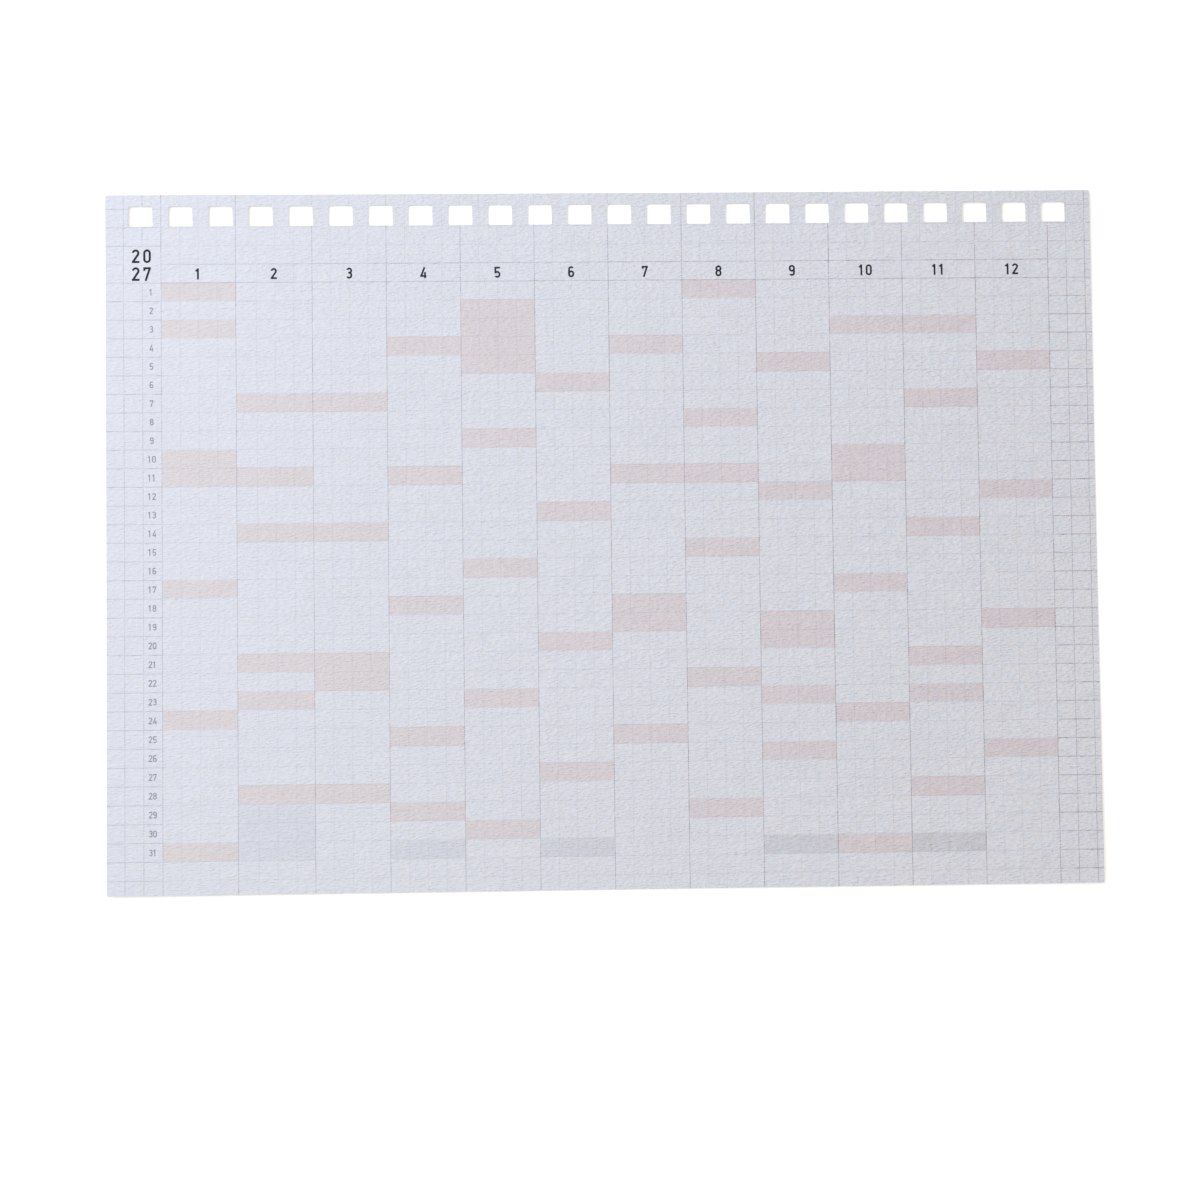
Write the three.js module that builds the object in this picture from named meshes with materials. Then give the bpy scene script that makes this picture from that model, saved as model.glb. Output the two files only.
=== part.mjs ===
// One loose leaf of a wire-bound planner: a single landscape sheet of paper that
// lies flat, printed side up, with a row of holes for the binding wire along its
// top edge. Millimetres, +Z up. The origin is on the surface that the sheet lies
// on, under its centre. +X runs along the lines of the page to the reader's
// right, and +Y runs up the page to the punched edge.
import * as THREE from 'three';

// Sheet
const SHEET_WIDTH = 210;
const SHEET_HEIGHT = 148;
const SHEET_THICKNESS = 0.15;
const SHEET_CORNER_RADIUS = 0.3;

// Holes for the binding wire, three to the inch, a little wider towards the page
const MM_PER_INCH = 25.4;
const HOLES_PER_INCH = 3;
const HOLE_WIDTH_AT_EDGE = 5.0;
const HOLE_WIDTH_AT_PAGE = 5.2;
const HOLE_HEIGHT = 4.25;
const HOLE_CORNER_RADIUS = 0.25;
const HOLE_ROW_TO_SHEET_EDGE = 2.45;
const HOLE_ROW_END_MARGIN = 7;
const HOLE_ROW_SHIFT = -0.3;

// Straight steps in half of a corner's quarter turn
const CORNER_ARC_STEPS = 2;

// Paper
const PAPER_COLOUR = 0xdee2ee;
const PAPER_ROUGHNESS = 0.85;

// A closed outline through the corners, each of them rounded to the radius.
// The corners are [x, y] pairs, listed anticlockwise.
function traceRoundedOutline(path, corners, radius) {
  corners.forEach(([x, y], index) => {
    const corner = new THREE.Vector2(x, y);
    const before = new THREE.Vector2(...corners.at(index - 1)).sub(corner).normalize();
    const after = new THREE.Vector2(...corners[(index + 1) % corners.length]).sub(corner).normalize();
    const halfAngle = Math.acos(before.dot(after)) / 2;
    const tangentLength = radius / Math.tan(halfAngle);
    const centre = before.clone().add(after).normalize()
      .multiplyScalar(radius / Math.sin(halfAngle)).add(corner);
    const arcStart = before.multiplyScalar(tangentLength).add(corner).sub(centre);
    const arcEnd = after.multiplyScalar(tangentLength).add(corner).sub(centre);
    path.absarc(centre.x, centre.y, radius, arcStart.angle(), arcEnd.angle(), false);
  });
  path.closePath();
  return path;
}

// The sheet's own outline, centred on the origin.
function sheetOutline() {
  const right = SHEET_WIDTH / 2;
  const top = SHEET_HEIGHT / 2;
  const corners = [[-right, -top], [right, -top], [right, top], [-right, top]];
  return traceRoundedOutline(new THREE.Shape(), corners, SHEET_CORNER_RADIUS);
}

// The middle of each hole along the sheet: as many as fit between the end margins.
function holeCentres() {
  const pitch = MM_PER_INCH / HOLES_PER_INCH;
  const gaps = Math.floor((SHEET_WIDTH - 2 * HOLE_ROW_END_MARGIN) / pitch);
  const first = HOLE_ROW_SHIFT - (gaps * pitch) / 2;
  return Array.from({ length: gaps + 1 }, (_, index) => first + index * pitch);
}

// One punched hole: a square-cornered slot that widens away from the sheet's edge.
function holeOutline(centre) {
  const top = SHEET_HEIGHT / 2 - HOLE_ROW_TO_SHEET_EDGE;
  const bottom = top - HOLE_HEIGHT;
  const halfTop = HOLE_WIDTH_AT_EDGE / 2;
  const halfBottom = HOLE_WIDTH_AT_PAGE / 2;
  const corners = [
    [centre - halfBottom, bottom],
    [centre + halfBottom, bottom],
    [centre + halfTop, top],
    [centre - halfTop, top],
  ];
  return traceRoundedOutline(new THREE.Path(), corners, HOLE_CORNER_RADIUS);
}

// The whole leaf, from its back face at z = 0 up to its printed face.
function plannerLeaf() {
  const outline = sheetOutline();
  outline.holes = holeCentres().map(holeOutline);
  const geometry = new THREE.ExtrudeGeometry(outline, {
    depth: SHEET_THICKNESS,
    bevelEnabled: false,
    curveSegments: CORNER_ARC_STEPS,
  });
  const paper = new THREE.MeshStandardMaterial({
    color: PAPER_COLOUR,
    roughness: PAPER_ROUGHNESS,
    metalness: 0,
  });
  const leaf = new THREE.Mesh(geometry, paper);
  leaf.name = 'planner_leaf';
  return leaf;
}

const planner = new THREE.Group();
planner.add(plannerLeaf());

export default planner;
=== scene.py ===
"""One loose leaf of a wire-bound planner, lying printed side up on a pale floor.

The sheet is the CAD leaf cut along its printed grid, so that every tinted day is a face of its
own. The ruling and the numerals are thin films of ink that lie in its surface. Places on the page
are millimetres right of and below the sheet's top left corner. Grid rows are counted from the top
of the first day, and cells from the left of the first month.
"""
import calendar
import math

import bmesh
import bpy
from mathutils import Matrix, Vector


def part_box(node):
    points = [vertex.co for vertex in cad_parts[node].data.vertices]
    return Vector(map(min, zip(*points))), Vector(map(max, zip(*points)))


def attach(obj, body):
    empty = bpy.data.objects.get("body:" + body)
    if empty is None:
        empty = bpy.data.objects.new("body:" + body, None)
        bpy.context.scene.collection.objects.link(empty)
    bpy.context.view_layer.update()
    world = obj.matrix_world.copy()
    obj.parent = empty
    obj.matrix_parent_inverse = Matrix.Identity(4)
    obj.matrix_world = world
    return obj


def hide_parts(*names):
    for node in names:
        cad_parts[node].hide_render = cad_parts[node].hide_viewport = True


def srgb(red, green, blue):
    """A linear colour from screen values of 0 to 255."""
    shares = [value / 255 for value in (red, green, blue)]
    linear = [c / 12.92 if c <= 0.04045 else ((c + 0.055) / 1.055) ** 2.4 for c in shares]
    return (*linear, 1)


MM = 0.001
MM_PER_INCH = 25.4

# The printed grid
ROW_PITCH = 3.94
COLUMN_PITCH = 3.93
CELLS_PER_MONTH = 4
OUTER_LEFT_LINE, INNER_LEFT_LINE = 3.8, 7.74
FIRST_MONTH_LEFT = 11.7
WIDE_MONTH = 2
WIDE_MONTH_EXTRA = 0.42
INNER_RIGHT_LINE, OUTER_RIGHT_LINE = 204.73, 208.7
FIRST_DAY_TOP = 18.78
HEADER_ROWS = 4
YEAR_BOX_TOP = -2
MONTH_BOX_TOP = -1
FOOTER_ROWS = 1
MOST_DAYS = 31
MONTHS = 12

# The calendar that the page shows, with its single holidays
YEAR = 2027
HOLIDAYS = {1: (1, 11), 2: (11, 23), 3: (22,), 4: (29,), 5: (3, 4, 5), 7: (19,), 8: (11,),
            9: (20, 23), 10: (11,), 11: (3, 23)}

# The punched holes, which the ruling stops at
HOLE_COUNT = 24
HOLE_PITCH = MM_PER_INCH / 3
HOLE_ROW_MIDDLE = 104.7
HOLE_TOP = 2.45
HOLE_BOTTOM = 6.7
HOLE_HALF_WIDTH = 2.6

# Ink films, in millimetres: how wide a ruled line is, and how far films reach in and stand out
ROW_LINE_WIDTH = 0.19
COLUMN_LINE_WIDTH = 0.145
FILM_DEPTH = 0.02
ROW_LINE_LIFT = 0.004
COLUMN_LINE_LIFT = 0.006
NUMERAL_LIFT = 0.012
STROKE_STEP = 0.002

# Numerals, in millimetres, with the shares of a digit's height that are its width and its waist
DIGIT_WIDTH_SHARE = 0.55
WAIST_SHARE = 0.54
YEAR_NUMERALS = {"height": 2.9, "pen": 0.45, "pitch": 2.4}
MONTH_NUMERALS = {"height": 2.36, "pen": 0.39, "pitch": 1.53}
DAY_NUMERALS = {"height": 1.42, "pen": 0.2, "pitch": 0.9}
YEAR_COLUMN = 7.58
YEAR_ROWS = (13.05, 16.85)
MONTH_ROW = 16.9
DAY_COLUMN = 9.6
BEND_STEP = 12

# How the sheet lifts off the floor, in millimetres: two waves, of which the second runs up the
# page and is longer by its share, and a curl that starts close to each corner
COCKLE = 0.1
COCKLE_LENGTH = 74
COCKLE_SLANT = 0.35
SECOND_COCKLE_SHARE = 0.6
SECOND_COCKLE_START = 1.1
CORNER_LIFT = 0.5
CORNER_CURL_POWER = 3

# Mesh work: distances in metres, angles in degrees, and how steep an upper face's normal is
MERGE_DISTANCE = 1e-7
CUT_DISTANCE = 1e-8
FLAT_WITHIN = 1
SHARP_FROM = 30
UPWARD = 0.5
ALONG_X, ALONG_Y = Vector((1, 0, 0)), Vector((0, 1, 0))

# Paper, at the page's left and right edges
PAPER = srgb(216, 220, 228)
HOLIDAY_CREAM, HOLIDAY_PINK = srgb(214, 210, 212), srgb(211, 205, 212)
NO_DAY_PALE, NO_DAY_DARK = srgb(212, 217, 226), srgb(200, 203, 211)
TINTS = {"paper": (PAPER, PAPER), "holiday": (HOLIDAY_CREAM, HOLIDAY_PINK),
         "no_day": (NO_DAY_PALE, NO_DAY_DARK)}
BARE, HOLIDAY, NO_DAY = range(len(TINTS))
PAPER_ROUGHNESS = 0.88
PAPER_SPECULAR = 0.25

# The paper's felt marks and its drifts of warmth, with noise scales to the metre
MIDDLE = 0.5
RIDGE_STRETCH = (0.36, 1, 1)
FINE_RIDGES = {"scale": 2800, "detail": 1, "roughness": 0.5}
BROAD_RIDGES = {"scale": 2800 / 9, "detail": 1, "roughness": 0.5}
FINE_SHARE, BROAD_SHARE = 0.75, 0.25
TOOTH_DEPTH = 0.4
TOOTH_AT_LEFT, TOOTH_AT_RIGHT = 0.7, 1.15
# How strongly painted shade darkens the paper between its ridges and painted light brightens their
# tops
PAINTED_RELIEF_SHADE = 0.25
DRIFT_STRETCH = (0.8, 1, 1)
DRIFTS = {"scale": 450, "detail": 3, "roughness": 0.9}
COOL_CAST, WARM_CAST = (0.952, 1, 1.055, 1), (1.048, 1, 0.945, 1)

# The ruling: how much of a line is ink at each weight, and how that grows across the page
LINE_COVERAGE = {"light": 0.08, "faint": 0.16, "medium": 0.28, "strong": 0.37}
LIGHT, FAINT, MEDIUM, STRONG = range(len(LINE_COVERAGE))
DENSITY_AT_LEFT, DENSITY_AT_RIGHT = 0.78, 1.34
COOL_LINE_INK, WARM_LINE_INK = srgb(96, 95, 126), srgb(122, 95, 110)
DOTS_TO_THE_METRE = 2350
DOT_CONTRAST = 0.7
WEAR_ON_RIDGES = 3
PATCHES = {"scale": 400, "detail": 2, "roughness": 0.6}
PATCH_CONTRAST = 2.6
TONES = {"scale": 900, "detail": 1, "roughness": 0.5}
TONE_START = 0.3
TONE_CONTRAST = 2.5

# The ink of the numerals, and how much paper shows through it
NUMERAL_INK, NUMERAL_THINNESS = srgb(18, 20, 36), 0.05
DAY_INK, DAY_THINNESS = srgb(130, 131, 150), 0.24

# The floor, which glows more from the near end of a range of distances, in metres, to the far end
FLOOR_HALF_WIDTH = 4
FLOOR_COLOUR = (0.8, 0.8, 0.8, 1)
GLOW_RANGE = (0.15, 0.4)
FLOOR_GLOW = (0.42, 0.65)

# The lights, in metres and watts
WHITE = (1, 1, 1, 1)
SKY_STRENGTH = 0.63
SKY_COLOUR = (1.12, 1, 0.88)
LAMP_PLACE = (-0.42, 0.22, 0.5)
LAMP_SIZE = 0.5
LAMP_POWER = 2.9
LAMP_COLOUR = (0.85, 0.985, 1.2)

# The camera, fitted to the outline and the ruling, in millimetres and degrees
CAMERA_LENS = 72
CAMERA_SENSOR = 36
CAMERA_NEAREST = 10
CAMERA_PLACE = (-17.44, -37.34, 507.57)
CAMERA_TURN = (2.773, -1.808, -0.702)

# Blender's names for kinds of socket, and its numbers for the colour sockets of a Mix node
FLOAT, COLOUR = "NodeSocketFloat", "NodeSocketColor"
FIRST_COLOUR, SECOND_COLOUR, MIXED_COLOUR = 6, 7, 2

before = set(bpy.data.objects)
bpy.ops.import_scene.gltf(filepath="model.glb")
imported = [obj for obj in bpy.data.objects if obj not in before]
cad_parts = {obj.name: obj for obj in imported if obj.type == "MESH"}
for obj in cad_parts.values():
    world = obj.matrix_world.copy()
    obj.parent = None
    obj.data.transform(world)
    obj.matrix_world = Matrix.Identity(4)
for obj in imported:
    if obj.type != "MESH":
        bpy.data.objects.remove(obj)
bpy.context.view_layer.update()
LEAF = "planner_leaf"
leaf_low, leaf_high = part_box(LEAF)


# Places on the page

def on_page(x, y):
    """The point of the row frame, in metres, at a place on the page."""
    return Vector((leaf_low.x + x * MM, leaf_high.y - y * MM, 0))


def page_place(point):
    """The place on the page, in millimetres, of a point of the row frame."""
    return (point.x - leaf_low.x) / MM, (leaf_high.y - point.y) / MM


def column_line(cell):
    """How far from the left edge the grid line at the left of a cell lies."""
    widened = WIDE_MONTH_EXTRA if cell > (WIDE_MONTH - 1) * CELLS_PER_MONTH else 0
    return FIRST_MONTH_LEFT + COLUMN_PITCH * cell + widened


def month_left(month):
    return column_line((month - 1) * CELLS_PER_MONTH)


def month_lines():
    return [month_left(month) for month in range(1, MONTHS + 2)]


def column_lines():
    cells = [column_line(cell) for cell in range(MONTHS * CELLS_PER_MONTH + 1)]
    return [OUTER_LEFT_LINE, INNER_LEFT_LINE, *cells, INNER_RIGHT_LINE, OUTER_RIGHT_LINE]


def row_line(row):
    """How far from the top edge the grid line at the top of a row lies."""
    return FIRST_DAY_TOP + ROW_PITCH * row


def grid_rows():
    return range(-HEADER_ROWS, MOST_DAYS + FOOTER_ROWS + 1)


def hole_middles():
    first = HOLE_ROW_MIDDLE - HOLE_PITCH * (HOLE_COUNT - 1) / 2
    return [first + HOLE_PITCH * hole for hole in range(HOLE_COUNT)]


def cockle(point):
    """How far the sheet lifts off the floor at a point: long shallow waves that come down to it, and
    a slight curl up to each corner."""
    turn = 2 * math.pi / (COCKLE_LENGTH * MM)
    first = math.sin(turn * (point.x + COCKLE_SLANT * point.y))
    second = math.sin(turn * SECOND_COCKLE_SHARE * point.y - SECOND_COCKLE_START)
    waves = first + second
    across = (point.x - leaf_low.x) / (leaf_high.x - leaf_low.x)
    along = (point.y - leaf_low.y) / (leaf_high.y - leaf_low.y)
    corners = [near_x * near_y for near_x in (across, 1 - across) for near_y in (along, 1 - along)]
    curl = sum(near ** CORNER_CURL_POWER for near in corners)
    return (COCKLE * (2 + waves) / 2 + CORNER_LIFT * curl) * MM


# Meshes

def add_to_scene(name, data):
    """A new object of the scene, with a mesh, a lamp or a camera as its data."""
    added = bpy.data.objects.new(name, data)
    bpy.context.scene.collection.objects.link(added)
    return added


def new_object(name, bm, materials):
    """Ends a bmesh as an object."""
    mesh = bpy.data.meshes.new(name)
    bm.to_mesh(mesh)
    bm.free()
    for material in materials:
        mesh.materials.append(material)
    return add_to_scene(name, mesh)


def new_piece(name, bm, materials):
    """Ends a bmesh as an object that rides on the leaf's body, with the given materials."""
    piece = new_object(name, bm, materials)
    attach(piece, "root")
    return piece


def cut_across(bm, point, normal):
    """Cuts every face along a plane and marks the cut, so that later merging keeps it."""
    geometry = bm.verts[:] + bm.edges[:] + bm.faces[:]
    cut = bmesh.ops.bisect_plane(bm, geom=geometry, dist=CUT_DISTANCE, plane_co=point,
                                 plane_no=normal)
    for part in cut["geom_cut"]:
        if isinstance(part, bmesh.types.BMEdge):
            part.seam = True


def cut_along_columns(bm):
    for x in column_lines():
        cut_across(bm, on_page(x, 0), ALONG_X)


def cut_along_rows(bm):
    for row in grid_rows():
        cut_across(bm, on_page(0, row_line(row)), ALONG_Y)


def merge_flat_faces(bm):
    bmesh.ops.dissolve_limit(bm, angle_limit=math.radians(FLAT_WITHIN), use_dissolve_boundaries=False,
                             verts=bm.verts, edges=bm.edges, delimit={"SEAM"})


def lay_film(bm, lift):
    """Closes flat faces into a film of ink and lays it in the sheet's upper face."""
    bmesh.ops.solidify(bm, geom=bm.faces[:], thickness=FILM_DEPTH * MM)
    bmesh.ops.recalc_face_normals(bm, faces=bm.faces[:])
    top = max(vert.co.z for vert in bm.verts)
    for vert in bm.verts:
        vert.co.z += leaf_high.z + lift * MM - top + cockle(vert.co)


# The sheet

def tint_of_day(month, day):
    """The tint of a day's cell: Sundays and holidays have one, and so have the cells below the last
    day of a short month."""
    if day > calendar.monthrange(YEAR, month)[1]:
        return NO_DAY
    is_sunday = calendar.weekday(YEAR, month, day) == calendar.SUNDAY
    return HOLIDAY if is_sunday or day in HOLIDAYS.get(month, ()) else BARE


def tint_at(point):
    """The tint of the paper at a point of the printed side."""
    x, y = page_place(point)
    day = math.floor((y - FIRST_DAY_TOP) / ROW_PITCH) + 1
    months_begun = sum(x > line for line in month_lines())
    if not (1 <= months_begun <= MONTHS and 1 <= day <= MOST_DAYS):
        return BARE
    return tint_of_day(months_begun, day)


def build_sheet(materials):
    """The CAD leaf, cut into the cells of its grid, with the tinted days' faces in their slots. It is
    first cut through its holes, so that each hole's outline is shared between two plain faces."""
    bm = bmesh.new()
    bm.from_mesh(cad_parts[LEAF].data)
    bmesh.ops.remove_doubles(bm, verts=bm.verts, dist=MERGE_DISTANCE)
    for x in hole_middles():
        cut_across(bm, on_page(x, 0), ALONG_X)
    cut_across(bm, on_page(0, (HOLE_TOP + HOLE_BOTTOM) / 2), ALONG_Y)
    merge_flat_faces(bm)
    cut_along_columns(bm)
    cut_along_rows(bm)
    merge_flat_faces(bm)
    for face in bm.faces:
        if face.normal.z > UPWARD:
            face.material_index = tint_at(face.calc_center_median())
    for vert in bm.verts:
        vert.co.z += cockle(vert.co)
    for face in bm.faces:
        face.smooth = True
    sheet = new_piece("sheet", bm, materials)
    sheet.data.set_sharp_from_angle(angle=math.radians(SHARP_FROM))
    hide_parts(LEAF)


# The ruling

def clear_runs(start, end, stops):
    """The stretches of a line from start to end that lie outside the stops, which are in order."""
    runs = []
    for low, high in [*stops, (end, end)]:
        if start < min(low, end):
            runs.append((start, min(low, end)))
        start = max(start, high)
    return runs


def rule(bm, start, end, width, weight):
    """Lays one ruled line of a width and weight between two places on the page."""
    low, high = on_page(*start), on_page(*end)
    size = [max(abs(length), width * MM) for length in (high - low)[:2]]
    place = Matrix.Translation((low + high) / 2) @ Matrix.Diagonal((*size, 1, 1))
    # The grid is one metre wide until its matrix scales it
    made = bmesh.ops.create_grid(bm, x_segments=1, y_segments=1, size=1 / 2, matrix=place)
    for face in made["verts"][0].link_faces:
        face.material_index = weight


def stops_of_column(x):
    """Where a line down the page is left out, from the top: in a hole and in the year's box. A stop
    of no length parts the inner line of the right margin, which is fainter above it."""
    stops = []
    if any(abs(x - middle) < HOLE_HALF_WIDTH for middle in hole_middles()):
        stops.append((HOLE_TOP, HOLE_BOTTOM))
    if x == INNER_LEFT_LINE:
        stops.append((row_line(YEAR_BOX_TOP), FIRST_DAY_TOP))
    if x == INNER_RIGHT_LINE:
        stops.append((row_line(MONTH_BOX_TOP), row_line(MONTH_BOX_TOP)))
    return stops


def weight_of_column(x, bottom):
    """The weight of a stretch of a line down the page that ends at a place."""
    if x in month_lines():
        return FAINT if bottom <= HOLE_TOP else STRONG
    if x == INNER_RIGHT_LINE and bottom <= row_line(MONTH_BOX_TOP):
        return FAINT
    margin_lines = (OUTER_LEFT_LINE, INNER_LEFT_LINE, INNER_RIGHT_LINE, OUTER_RIGHT_LINE)
    return MEDIUM if x in margin_lines else LIGHT


def weights_of_row(row):
    """The weights of a line across the page: left of the months, under them and right of them."""
    left = FAINT if row == MONTH_BOX_TOP else MEDIUM
    months = MEDIUM if row in (MONTH_BOX_TOP, 0) else LIGHT
    right = MEDIUM if row > 0 else FAINT
    return left, months, right


def build_column_ruling(materials):
    """The lines that run down the page."""
    bm = bmesh.new()
    page_bottom = (leaf_high.y - leaf_low.y) / MM
    for x in column_lines():
        for top, bottom in clear_runs(0, page_bottom, stops_of_column(x)):
            rule(bm, (x, top), (x, bottom), COLUMN_LINE_WIDTH, weight_of_column(x, bottom))
    cut_along_rows(bm)
    finish_ruling("column_ruling", bm, COLUMN_LINE_LIFT, materials)


def build_row_ruling(materials):
    """The lines that run across the page. The one above the month numerals leaves out the year's
    box."""
    bm = bmesh.new()
    page_right = (leaf_high.x - leaf_low.x) / MM
    months_right = month_left(MONTHS + 1)
    holes = [(middle - HOLE_HALF_WIDTH, middle + HOLE_HALF_WIDTH) for middle in hole_middles()]
    for row in grid_rows():
        y = row_line(row)
        stops = holes if HOLE_TOP < y < HOLE_BOTTOM else []
        left_end = OUTER_LEFT_LINE if row == MONTH_BOX_TOP else FIRST_MONTH_LEFT
        bands = [(0, left_end), (FIRST_MONTH_LEFT, months_right), (months_right, page_right)]
        for (start, end), weight in zip(bands, weights_of_row(row)):
            for low, high in clear_runs(start, end, stops):
                rule(bm, (low, y), (high, y), ROW_LINE_WIDTH, weight)
    cut_along_columns(bm)
    finish_ruling("row_ruling", bm, ROW_LINE_LIFT, materials)


def finish_ruling(name, bm, lift, materials):
    """Gives each stretch of ruling the slot for its weight over the tint that it crosses."""
    for face in bm.faces:
        tint = tint_at(face.calc_center_median())
        face.material_index = face.material_index * len(TINTS) + tint
    lay_film(bm, lift)
    new_piece(name, bm, materials)


# The numerals

def run(length):
    return ("run", length)


def bend(radius, degrees):
    return ("bend", radius, degrees)


def line_between(start, end):
    """A straight stroke from one point to another."""
    way = Vector(end) - Vector(start)
    return start, math.degrees(math.atan2(way.y, way.x)), [run(way.length)]


def on_ring(centre_height, radius, degrees):
    """The point of a ring above the digit's middle at an angle from its right."""
    angle = math.radians(degrees)
    return radius * math.cos(angle), centre_height + radius * math.sin(angle)


def digit_strokes(digit, height, pen):
    """The strokes of a digit of plain round-cornered lettering, each as where its middle line
    starts, its heading in degrees and its moves. x is from the digit's middle and y from its foot."""
    side = (DIGIT_WIDTH_SHARE * height - pen) / 2
    foot, head = pen / 2, height - pen / 2
    waist = foot + WAIST_SHARE * (head - foot)
    upper = (head - waist) / 2
    tall = run(head - foot - 2 * side)
    low = run(waist - foot - 2 * side)
    ring = [low, bend(side, 180)] * 2
    hook = [tall, bend(side, -145)]
    if digit == "0":
        return [((side, foot + side), 90, [tall, bend(side, 180)] * 2)]
    if digit == "1":
        stem = -0.03 * height
        flag_reach, flag_drop = 0.2 * height, 0.16 * height
        return [((stem, 0), 90, [run(height)]),
                line_between((stem - flag_reach, head - flag_drop), (stem, head))]
    if digit == "2":
        opening = 172
        heading = opening - 90
        to_bowl = Vector((side, head - side - foot))
        slope = math.atan2(to_bowl.y, to_bowl.x) - math.asin(side / to_bowl.length)
        slant = run(math.sqrt(to_bowl.length ** 2 - side ** 2))
        bowl = bend(side, math.degrees(slope) - 180 - heading)
        return [(on_ring(head - side, side, opening), heading, [bowl, slant]),
                ((-side - pen / 2, foot), 0, [run(2 * side + pen)])]
    if digit == "3":
        reach = 0.4 * side
        return [((-reach, waist), 0, [run(reach), bend(side, -90), low, bend(side, -155)]),
                ((-reach, waist), 0, [run(reach), bend(upper, 250)])]
    if digit == "4":
        bar, apex = 0.205 * height, 0.11 * height
        stem, stem_height = 0.155 * height, 0.55 * height
        return [line_between((apex, height), (-side, bar)),
                line_between((-side - pen / 2, bar), (side + pen / 2, bar)),
                ((stem, 0), 90, [run(stem_height)])]
    if digit == "5":
        reach = 0.9 * side
        opening = 145
        start = on_ring(waist - side, side, opening)
        return [line_between((-side, head), (reach + pen / 2, head)),
                line_between((-reach, head + pen / 2), (-reach, start[1] - pen / 3)),
                (start, opening - 90, [bend(side, -145), low, bend(side, -150)])]
    if digit == "6":
        return [((side, foot + side), 90, ring), ((-side, foot + side), 90, hook)]
    if digit == "7":
        serif, toe = 0.19 * height, -0.11 * height
        return [line_between((-side - pen / 2, head), (side + pen / 2, head)),
                line_between((-side, head), (-side, head - serif)),
                line_between((side, head), (toe, 0))]
    if digit == "8":
        return [((side, foot + side), 90, ring),
                ((upper, head - upper), 90, [bend(upper, 360)])]
    return [((-side, head - side), -90, ring), ((side, head - side), -90, hook)]


def draw_stroke(bm, origin, stroke, pen):
    """Draws one stroke flat: an edge as long as the pen is wide is swept along straight runs and
    spun round bends."""
    start, heading, moves = stroke
    angle = math.radians(heading)
    at = origin + Vector((*start, 0)) * MM
    nib = Vector((-math.sin(angle), math.cos(angle), 0)) * pen * MM / 2
    ends = [bm.verts.new(at - nib), bm.verts.new(at + nib)]
    edge = [*ends, bm.edges.new(ends)]
    for kind, size, *turn in moves:
        ahead = Vector((math.cos(angle), math.sin(angle), 0))
        if kind == "run":
            swept = bmesh.ops.spin(bm, geom=edge, cent=at, axis=(0, 0, 1), angle=0, steps=1,
                                   dvec=ahead * size * MM)
            at = at + ahead * size * MM
        else:
            sweep = math.radians(turn[0])
            side = math.copysign(1, sweep)
            centre = at + Vector((-ahead.y, ahead.x, 0)) * side * size * MM
            swept = bmesh.ops.spin(bm, geom=edge, cent=centre, axis=(0, 0, 1), angle=sweep,
                                   steps=math.ceil(abs(turn[0]) / BEND_STEP))
            at = centre + Matrix.Rotation(sweep, 3, "Z") @ (at - centre)
            angle += sweep
        edge = swept["geom_last"]


def draw_number(bm, number, x, y, height, pen, pitch):
    """Draws a number in the middle of a place on the page. Each stroke of a digit lies a little
    deeper than the one before, so that no two share a surface where they meet."""
    digits = str(number)
    foot = on_page(x, y + height / 2)
    for index, digit in enumerate(digits):
        origin = foot + Vector(((index - (len(digits) - 1) / 2) * pitch * MM, 0, 0))
        for stroke in digit_strokes(digit, height, pen):
            draw_stroke(bm, origin, stroke, pen)
            origin.z -= STROKE_STEP * MM


def finish_numerals(name, bm, ink):
    bmesh.ops.remove_doubles(bm, verts=bm.verts, dist=MERGE_DISTANCE)
    lay_film(bm, NUMERAL_LIFT)
    new_piece(name, bm, [ink])


def build_year_numerals(ink):
    """The year in two rows of two digits, in the box left of the months."""
    bm = bmesh.new()
    for number, y in zip(divmod(YEAR, 100), YEAR_ROWS):
        draw_number(bm, number, YEAR_COLUMN, y, **YEAR_NUMERALS)
    finish_numerals("year_numerals", bm, ink)


def build_month_numerals(ink):
    bm = bmesh.new()
    for month in range(1, MONTHS + 1):
        middle = (month_left(month) + month_left(month + 1)) / 2
        draw_number(bm, month, middle, MONTH_ROW, **MONTH_NUMERALS)
    finish_numerals("month_numerals", bm, ink)


def build_day_numerals(ink):
    bm = bmesh.new()
    for day in range(1, MOST_DAYS + 1):
        draw_number(bm, day, DAY_COLUMN, row_line(day - 1 / 2), **DAY_NUMERALS)
    finish_numerals("day_numerals", bm, ink)


# Nodes

def feed(tree, socket, value):
    """Joins an output socket to an input socket, or sets a number or colour on it."""
    if isinstance(value, bpy.types.NodeSocket):
        tree.links.new(value, socket)
    else:
        socket.default_value = value


def math_node(tree, operation, first, second):
    node = tree.nodes.new("ShaderNodeMath")
    node.operation = operation
    feed(tree, node.inputs[0], first)
    feed(tree, node.inputs[1], second)
    return node.outputs[0]


def centred(tree, value):
    """How far a value lies from the middle of 0 to 1."""
    return math_node(tree, "SUBTRACT", value, MIDDLE)


def mix_colours(tree, factor, first, second, blend="MIX"):
    node = tree.nodes.new("ShaderNodeMix")
    node.data_type = "RGBA"
    node.blend_type = blend
    feed(tree, node.inputs["Factor"], factor)
    feed(tree, node.inputs[FIRST_COLOUR], first)
    feed(tree, node.inputs[SECOND_COLOUR], second)
    return node.outputs[MIXED_COLOUR]


def map_range(tree, value, given_range, made_range):
    """A value that goes from one end of the made range to the other as the given value goes through
    its own."""
    node = tree.nodes.new("ShaderNodeMapRange")
    feed(tree, node.inputs["Value"], value)
    ends = ("From Min", "From Max", "To Min", "To Max")
    for label, end in zip(ends, (*given_range, *made_range)):
        feed(tree, node.inputs[label], end)
    return node.outputs[0]


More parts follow.
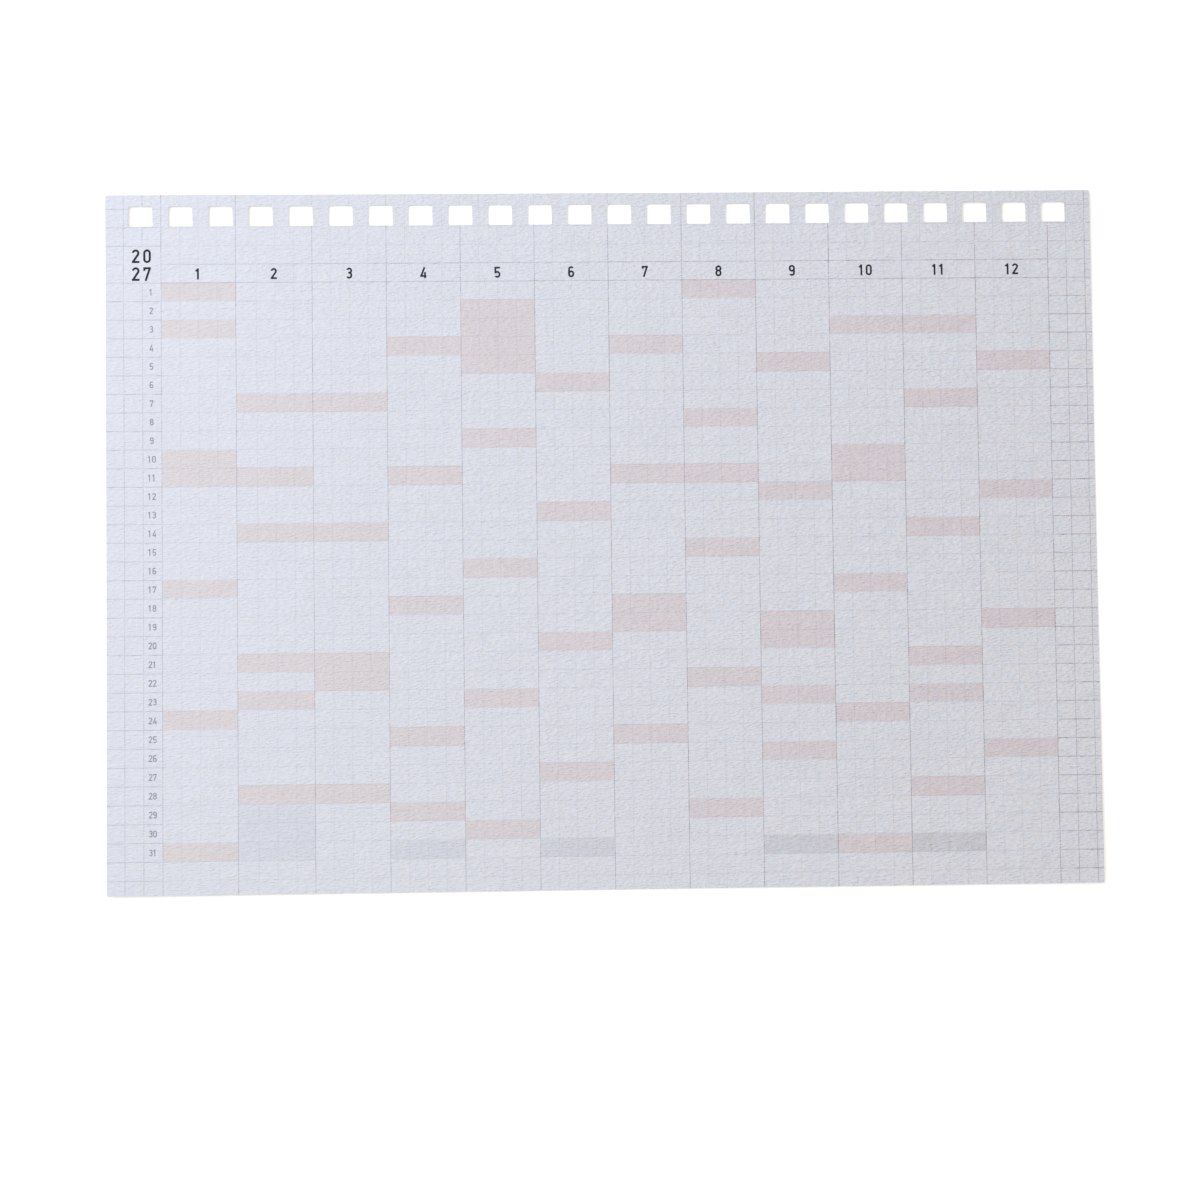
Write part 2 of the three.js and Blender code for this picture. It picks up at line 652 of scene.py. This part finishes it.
def noise_node(tree, place, scale, detail, roughness):
    node = tree.nodes.new("ShaderNodeTexNoise")
    feed(tree, node.inputs["Vector"], place)
    feed(tree, node.inputs["Scale"], scale)
    feed(tree, node.inputs["Detail"], detail)
    feed(tree, node.inputs["Roughness"], roughness)
    return node.outputs[0]


def place_on_object(tree):
    return tree.nodes.new("ShaderNodeTexCoord").outputs["Object"]


def stretched_place(tree, factors):
    """Object coordinates times a factor on each axis."""
    node = tree.nodes.new("ShaderNodeVectorMath")
    node.operation = "MULTIPLY"
    feed(tree, node.inputs[0], place_on_object(tree))
    feed(tree, node.inputs[1], factors)
    return node.outputs[0]


def axes_of(tree, place):
    """The X, Y and Z outputs of a place."""
    node = tree.nodes.new("ShaderNodeSeparateXYZ")
    feed(tree, node.inputs[0], place)
    return node.outputs


def new_group(name, inputs, outputs):
    """A shader node group and its two end nodes. Inputs go from a name to a kind of socket and its
    default, and outputs from a name to a kind."""
    group = bpy.data.node_groups.new(name, "ShaderNodeTree")
    for label, (kind, default) in inputs.items():
        socket = group.interface.new_socket(label, in_out="INPUT", socket_type=kind)
        socket.default_value = default
    for label, kind in outputs.items():
        group.interface.new_socket(label, in_out="OUTPUT", socket_type=kind)
    return group, group.nodes.new("NodeGroupInput"), group.nodes.new("NodeGroupOutput")


def use_group(tree, name, **values):
    """A node that uses a shader node group, with values or links on its named inputs."""
    node = tree.nodes.new("ShaderNodeGroup")
    node.node_tree = bpy.data.node_groups[name]
    for label, value in values.items():
        feed(tree, node.inputs[label.replace("_", " ").title()], value)
    return node


# Shared effects

def paper_stock_group():
    """Felt-marked paper: short ridges that lie across the page. Height is their relief, and Colour is
    the given colour with painted shade between the ridges and painted light on their tops, and with
    slow and fine drifts of warmth. Tooth scales all three."""
    inputs = {"Colour": (COLOUR, PAPER), "Tooth": (FLOAT, 1)}
    group, given, made = new_group("paper_stock", inputs, {"Colour": COLOUR, "Height": FLOAT})
    tooth = given.outputs["Tooth"]
    place = stretched_place(group, RIDGE_STRETCH)
    fine = math_node(group, "MULTIPLY", noise_node(group, place, **FINE_RIDGES), FINE_SHARE)
    broad = math_node(group, "MULTIPLY", noise_node(group, place, **BROAD_RIDGES), BROAD_SHARE)
    ridges = centred(group, math_node(group, "ADD", fine, broad))
    relief = math_node(group, "MULTIPLY", ridges, tooth)
    feed(group, made.inputs["Height"], math_node(group, "ADD", relief, MIDDLE))
    drifts = centred(group, noise_node(group, stretched_place(group, DRIFT_STRETCH), **DRIFTS))
    warmth = math_node(group, "ADD", math_node(group, "MULTIPLY", drifts, tooth), MIDDLE)
    cast = mix_colours(group, warmth, COOL_CAST, WARM_CAST)
    shade = group.nodes.new("ShaderNodeVectorMath")
    shade.operation = "SCALE"
    feed(group, shade.inputs[0], mix_colours(group, 1, given.outputs["Colour"], cast, "MULTIPLY"))
    # Painted shade and light: the colour darkens where the relief is low and brightens where it is
    # high
    painted_relief_shade = math_node(group, "MULTIPLY", relief, PAINTED_RELIEF_SHADE)
    feed(group, shade.inputs["Scale"], math_node(group, "ADD", painted_relief_shade, 1))
    feed(group, made.inputs["Colour"], shade.outputs[0])


def across_page_group():
    """A value that goes evenly from one at the page's left edge to another at its right."""
    inputs = {"At Left": (FLOAT, 0), "At Right": (FLOAT, 1)}
    group, given, made = new_group("across_page", inputs, {"Value": FLOAT})
    across = axes_of(group, place_on_object(group))["X"]
    value = map_range(group, across, (leaf_low.x, leaf_high.x), given.outputs[:2])
    feed(group, made.inputs["Value"], value)


def halftone_line_group():
    """Coverage is how much ink a ruled line holds along its length: a row of printed dots, broken up
    in patches and where the paper's relief, given as Height, keeps the ink off. Tone picks the
    ink's colour."""
    inputs = {"Weight": (FLOAT, LINE_COVERAGE["medium"]), "Height": (FLOAT, MIDDLE)}
    group, given, made = new_group("halftone_line", inputs, {"Coverage": FLOAT, "Tone": FLOAT})
    place = place_on_object(group)
    axes = axes_of(group, place)
    along = math_node(group, "ADD", axes["X"], axes["Y"])
    turn = math_node(group, "MULTIPLY", along, 2 * math.pi * DOTS_TO_THE_METRE)
    wave = math_node(group, "MULTIPLY", math_node(group, "SINE", turn, 0), DOT_CONTRAST)
    dots = math_node(group, "ADD", wave, 1)
    worn = math_node(group, "MULTIPLY", centred(group, given.outputs["Height"]), WEAR_ON_RIDGES)
    patches = centred(group, noise_node(group, place, **PATCHES))
    patchy = math_node(group, "MULTIPLY", patches, PATCH_CONTRAST)
    kept = math_node(group, "ADD", math_node(group, "ADD", worn, patchy), 1)
    inked = math_node(group, "MULTIPLY", dots, math_node(group, "MAXIMUM", kept, 0))
    coverage = math_node(group, "MULTIPLY", inked, given.outputs["Weight"])
    feed(group, made.inputs["Coverage"], coverage)
    tone = math_node(group, "SUBTRACT", noise_node(group, place, **TONES), TONE_START)
    feed(group, made.inputs["Tone"], math_node(group, "MULTIPLY", tone, TONE_CONTRAST))


# Materials

def new_material(name):
    material = bpy.data.materials.new(name)
    material.use_nodes = True
    return material, material.node_tree


def new_surface(name):
    """A material whose Principled shader is set as uncoated paper, with the paper stock's relief
    joined to its Normal through a Bump node."""
    material, tree = new_material(name)
    shader = tree.nodes["Principled BSDF"]
    shader.inputs["Roughness"].default_value = PAPER_ROUGHNESS
    shader.inputs["Specular IOR Level"].default_value = PAPER_SPECULAR
    tooth = use_group(tree, "across_page", at_left=TOOTH_AT_LEFT, at_right=TOOTH_AT_RIGHT)
    stock = use_group(tree, "paper_stock", tooth=tooth.outputs["Value"])
    bump = tree.nodes.new("ShaderNodeBump")
    bump.inputs["Distance"].default_value = TOOTH_DEPTH * MM
    feed(tree, bump.inputs["Height"], stock.outputs["Height"])
    feed(tree, shader.inputs["Normal"], bump.outputs["Normal"])
    return material, tree, shader, stock


def tint_stock(tree, stock, at_left, at_right):
    """Gives the paper stock a colour that drifts from one to another across the page."""
    across = use_group(tree, "across_page")
    colour = mix_colours(tree, across.outputs["Value"], at_left, at_right)
    feed(tree, stock.inputs["Colour"], colour)


def paper_surface(name, at_left, at_right):
    """Bare or tinted paper."""
    material, tree, shader, stock = new_surface(name)
    tint_stock(tree, stock, at_left, at_right)
    feed(tree, shader.inputs["Base Color"], stock.outputs["Colour"])
    return material


def ruling_surface(name, coverage, at_left, at_right):
    """A ruled line over paper of the given colours. Coverage goes from 0, no ink, to 1, all ink."""
    material, tree, shader, stock = new_surface(name)
    tint_stock(tree, stock, at_left, at_right)
    weight = use_group(tree, "across_page", at_left=coverage * DENSITY_AT_LEFT,
                       at_right=coverage * DENSITY_AT_RIGHT)
    line = use_group(tree, "halftone_line", weight=weight.outputs["Value"],
                     height=stock.outputs["Height"])
    ink = mix_colours(tree, line.outputs["Tone"], COOL_LINE_INK, WARM_LINE_INK)
    colour = mix_colours(tree, line.outputs["Coverage"], stock.outputs["Colour"], ink)
    feed(tree, shader.inputs["Base Color"], colour)
    return material


def numeral_surface(name, ink, thinness):
    """Solid ink that lies a little thinner on the ridges of the paper."""
    material, tree, shader, stock = new_surface(name)
    thin = math_node(tree, "MULTIPLY", stock.outputs["Height"], thinness)
    feed(tree, shader.inputs["Base Color"], mix_colours(tree, thin, ink, PAPER))
    return material


def seen_directly(tree):
    """1 for rays that show the background to the camera, straight, mirrored or through glass."""
    path = tree.nodes.new("ShaderNodeLightPath").outputs
    mirrored = math_node(tree, "MAXIMUM", path["Is Glossy Ray"], path["Is Transmission Ray"])
    return math_node(tree, "MAXIMUM", path["Is Camera Ray"], mirrored)


def floor_surface():
    """A matt finish that glows a little, more so far from the lamp, so that the camera sees it as
    white all over."""
    material, tree = new_material("pale_floor")
    tree.nodes.clear()
    matt = tree.nodes.new("ShaderNodeBsdfDiffuse")
    matt.inputs["Color"].default_value = FLOOR_COLOUR
    distance = tree.nodes.new("ShaderNodeVectorMath")
    distance.operation = "LENGTH"
    feed(tree, distance.inputs[0], place_on_object(tree))
    brightness = map_range(tree, distance.outputs["Value"], GLOW_RANGE, FLOOR_GLOW)
    glow = tree.nodes.new("ShaderNodeEmission")
    strength = math_node(tree, "MULTIPLY", seen_directly(tree), brightness)
    feed(tree, glow.inputs["Strength"], strength)
    both = tree.nodes.new("ShaderNodeAddShader")
    feed(tree, both.inputs[0], matt.outputs[0])
    feed(tree, both.inputs[1], glow.outputs[0])
    feed(tree, tree.nodes.new("ShaderNodeOutputMaterial").inputs["Surface"], both.outputs[0])
    return material


# The studio

def build_floor():
    """A wide pale floor that keeps the sheet's shadow."""
    bm = bmesh.new()
    bmesh.ops.create_grid(bm, x_segments=1, y_segments=1, size=FLOOR_HALF_WIDTH)
    new_object("floor", bm, [floor_surface()])


def light_studio():
    """A soft lamp above the sheet's top left, and an even pale sky."""
    lamp = bpy.data.lights.new("key_lamp", "AREA")
    lamp.size = LAMP_SIZE
    lamp.energy = LAMP_POWER
    lamp.color = LAMP_COLOUR
    holder = add_to_scene("key_lamp", lamp)
    holder.location = LAMP_PLACE
    holder.rotation_euler = (-holder.location).to_track_quat("-Z", "Y").to_euler()
    world = bpy.data.worlds.new("sky")
    world.use_nodes = True
    bpy.context.scene.world = world
    tree = world.node_tree
    dim_sky = [SKY_STRENGTH * value for value in SKY_COLOUR]
    shown = mix_colours(tree, seen_directly(tree), (*dim_sky, 1), WHITE)
    feed(tree, tree.nodes["Background"].inputs["Color"], shown)


def place_camera():
    camera = bpy.data.cameras.new("camera")
    camera.lens = CAMERA_LENS
    camera.sensor_width = CAMERA_SENSOR
    camera.clip_start = CAMERA_NEAREST * MM
    holder = add_to_scene("camera", camera)
    holder.location = Vector(CAMERA_PLACE) * MM
    holder.rotation_euler = [math.radians(degrees) for degrees in CAMERA_TURN]
    bpy.context.scene.camera = holder


place_camera()
light_studio()
build_floor()
bpy.context.scene.view_settings.view_transform = "Standard"

paper_stock_group()
across_page_group()
halftone_line_group()
build_sheet([paper_surface(name, *colours) for name, colours in TINTS.items()])
rulings = [ruling_surface(f"{weight}_ruling_on_{name}", coverage, *colours)
           for weight, coverage in LINE_COVERAGE.items() for name, colours in TINTS.items()]
build_column_ruling(rulings)
build_row_ruling(rulings)
numeral_ink = numeral_surface("numeral_ink", NUMERAL_INK, NUMERAL_THINNESS)
build_year_numerals(numeral_ink)
build_month_numerals(numeral_ink)
build_day_numerals(numeral_surface("day_ink", DAY_INK, DAY_THINNESS))
